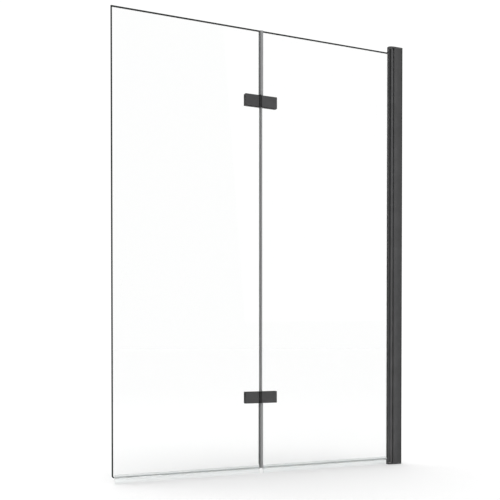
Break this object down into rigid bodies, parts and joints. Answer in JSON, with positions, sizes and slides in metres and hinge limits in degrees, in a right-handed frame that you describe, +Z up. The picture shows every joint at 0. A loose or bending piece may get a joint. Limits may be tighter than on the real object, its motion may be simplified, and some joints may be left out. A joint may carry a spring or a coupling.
{
  "type": "bath screen",
  "caption": "Folding frameless bath screen: clear glass panels on dark hinges and a pivoting wall profile, swinging into the bath and folding flat.",
  "frame": {"origin": "foot of the wall face, on the middle plane of the glass, at the height of the bath rim", "axes": "+Z up along the wall profile, +X into the wall (the screen reaches along -X), +Y towards the inside of the bath, -Y towards the room"},
  "size_m": [1, 0.0284, 1.4],
  "materials": {
    "clear_glass": "clear toughened float glass, ground and polished edges",
    "coated_profile": "extruded aluminium with a fine matt black powder coat",
    "coated_hinge": "matt black coated metal with bevelled edges",
    "black_plastic": "matt black moulding with a fine spark texture",
    "bearing_plastic": "natural acetal, smooth",
    "black_acetal": "black acetal, smooth",
    "black_rubber": "smooth black rubber",
    "clear_seal": "clear soft extrusion",
    "seam_seal": "smoke-grey translucent soft extrusion",
    "steel": "stainless steel, machined"
  },
  "bodies": {
    "wall_frame": {"bottom_cap_screws": "steel", "bottom_end_cap": "black_plastic", "bottom_pivot_bush": "bearing_plastic", "jamb_profile": "coated_profile", "jamb_screw_caps": "black_plastic", "jamb_screws": "steel", "jamb_wiper_seal": "black_rubber", "top_cap_screws": "steel", "top_end_cap": "black_plastic", "top_pivot_bush": "bearing_plastic", "wall_profile": "coated_profile"},
    "inner_panel": {"bottom_barrel_plug": "black_plastic", "bottom_pivot_pin": "steel", "glazing_gasket": "black_rubber", "inner_bottom_seal": "clear_seal", "inner_glass_panel": "clear_glass", "lower_hinge_inner_back_gasket": "black_rubber", "lower_hinge_inner_back_plate": "coated_hinge", "lower_hinge_inner_front_gasket": "black_rubber", "lower_hinge_inner_front_plate": "coated_hinge", "lower_hinge_inner_screws": "steel", "lower_hinge_inner_sleeves": "bearing_plastic", "lower_hinge_pin": "steel", "pivot_barrel": "coated_profile", "seam_seal_bottom": "seam_seal", "seam_seal_middle": "seam_seal", "seam_seal_top": "seam_seal", "top_barrel_plug": "black_plastic", "top_pivot_pin": "steel", "upper_hinge_inner_back_gasket": "black_rubber", "upper_hinge_inner_back_plate": "coated_hinge", "upper_hinge_inner_front_gasket": "black_rubber", "upper_hinge_inner_front_plate": "coated_hinge", "upper_hinge_inner_screws": "steel", "upper_hinge_inner_sleeves": "bearing_plastic", "upper_hinge_pin": "steel"},
    "outer_panel": {"lower_hinge_outer_back_gasket": "black_rubber", "lower_hinge_outer_back_plate": "coated_hinge", "lower_hinge_outer_front_gasket": "black_rubber", "lower_hinge_outer_front_plate": "coated_hinge", "lower_hinge_outer_screws": "steel", "lower_hinge_outer_sleeves": "bearing_plastic", "lower_hinge_washers": "black_acetal", "outer_bottom_seal": "clear_seal", "outer_glass_panel": "clear_glass", "upper_hinge_outer_back_gasket": "black_rubber", "upper_hinge_outer_back_plate": "coated_hinge", "upper_hinge_outer_front_gasket": "black_rubber", "upper_hinge_outer_front_plate": "coated_hinge", "upper_hinge_outer_screws": "steel", "upper_hinge_outer_sleeves": "bearing_plastic", "upper_hinge_washers": "black_acetal"}
  },
  "joints": [
    {"name": "wall_pivot", "type": "hinge", "parent": "wall_frame", "child": "inner_panel", "pos_m": [-0.0405, 0, 0.7], "axis": [0, 0, 1], "range_deg": [-90, 0]},
    {"name": "panel_fold", "type": "hinge", "parent": "inner_panel", "child": "outer_panel", "pos_m": [-0.5265, -0.0081, 0.7], "axis": [0, 0, 1], "range_deg": [0, 180]}
  ]
}
